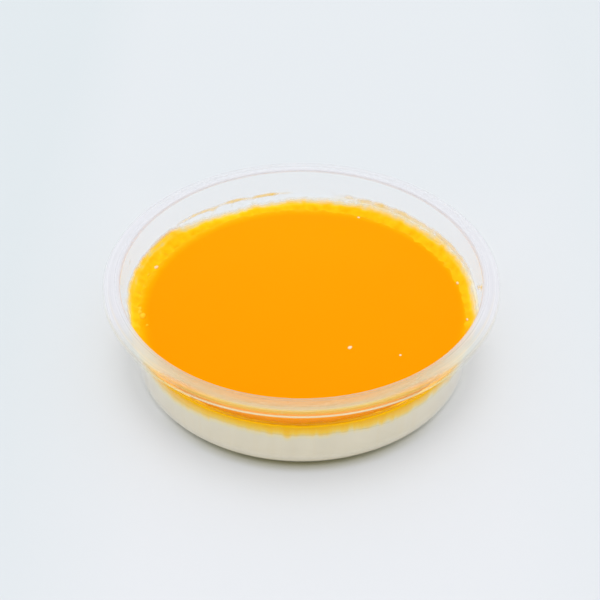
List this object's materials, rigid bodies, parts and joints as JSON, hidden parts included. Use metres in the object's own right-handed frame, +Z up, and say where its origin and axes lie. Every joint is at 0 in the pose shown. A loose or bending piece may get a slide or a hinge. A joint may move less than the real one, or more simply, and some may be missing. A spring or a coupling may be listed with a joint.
{
  "type": "panna cotta",
  "caption": "Shallow round clear plastic pot, open at the top, holding white set cream under a smooth poured layer of orange fruit topping.",
  "frame": {"origin": "centre of the base, on the surface that the pot stands on", "axes": "+Z up along the pot's axis; the panna cotta lies slightly lower at +X than at -X"},
  "size_m": [0.101, 0.101, 0.0255],
  "materials": {
    "clear_plastic": "thin clear thermoformed sheet, glossy",
    "set_cream": "smooth cream-white set cream, satin",
    "fruit_gel": "smooth opaque orange fruit topping, wet"
  },
  "bodies": {
    "root": {"pot": "clear_plastic", "panna_cotta": "set_cream", "fruit_topping": "fruit_gel"}
  },
  "joints": []
}
